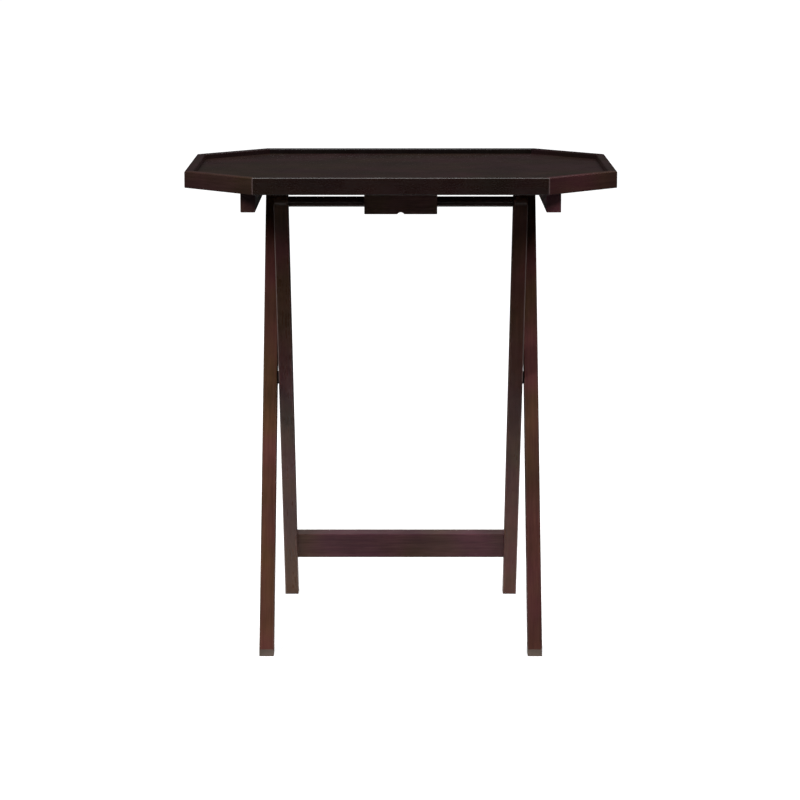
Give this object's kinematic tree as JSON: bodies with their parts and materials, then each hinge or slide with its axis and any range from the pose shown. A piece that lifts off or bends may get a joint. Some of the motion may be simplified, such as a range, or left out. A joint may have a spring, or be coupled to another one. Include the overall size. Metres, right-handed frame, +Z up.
{
  "type": "folding tray table",
  "caption": "Folding wooden tray table: octagonal rimmed tray on a scissor stand of leg frames, with a front catch block and a rear hinge dowel.",
  "frame": {"origin": "on the floor, midway between the legs and below the bolts where the two leg frames cross", "axes": "+Z up, -Y the front of the table, +X to its right as seen from the front"},
  "size_m": [0.578, 0.446, 0.65],
  "materials": {
    "panel": "semi-gloss espresso lacquer on a flat veneered panel",
    "espresso_wood": "satin espresso stain and lacquer, straight grain",
    "plain_wood": "bare beech dowel pins, glued",
    "zinc_steel": "zinc-plated steel",
    "brass": "turned brass",
    "nylon": "black nylon"
  },
  "bodies": {
    "outer_frame": {"outer_leg_left": "espresso_wood", "outer_leg_right": "espresso_wood", "pivot_bolts": "zinc_steel", "pivot_washers": "nylon"},
    "inner_frame": {"inner_leg_left": "espresso_wood", "inner_leg_right": "espresso_wood", "front_dowel": "espresso_wood", "lower_rail": "espresso_wood", "rail_pins": "plain_wood", "thread_inserts": "brass"},
    "rear_hinge": {"rear_dowel": "espresso_wood", "rear_washers": "nylon"},
    "tray": {"tray_panel": "panel", "front_rim": "espresso_wood", "front_right_rim": "espresso_wood", "right_rim": "espresso_wood", "back_right_rim": "espresso_wood", "back_rim": "espresso_wood", "back_left_rim": "espresso_wood", "left_rim": "espresso_wood", "front_left_rim": "espresso_wood", "left_cleat": "espresso_wood", "right_cleat": "espresso_wood", "catch_block": "espresso_wood", "cleat_screws": "zinc_steel", "catch_screws": "zinc_steel"}
  },
  "joints": [
    {"name": "leg_fold", "type": "hinge", "parent": "outer_frame", "child": "inner_frame", "pos_m": [0, 0, 0.35], "axis": [-1, 0, 0], "range_deg": [0, 51]},
    {"name": "tray_ride", "type": "hinge", "parent": "outer_frame", "child": "rear_hinge", "pos_m": [0, 0.13743, 0.614], "axis": [-1, 0, 0], "range_deg": [0, 25.6]},
    {"name": "tray_lift", "type": "hinge", "parent": "rear_hinge", "child": "tray", "pos_m": [0, 0.13743, 0.614], "axis": [-1, 0, 0], "range_deg": [0, 88]}
  ],
  "couplings": [
    {"joint": "tray_ride", "follows": "leg_fold", "ratio": 0.5}
  ]
}
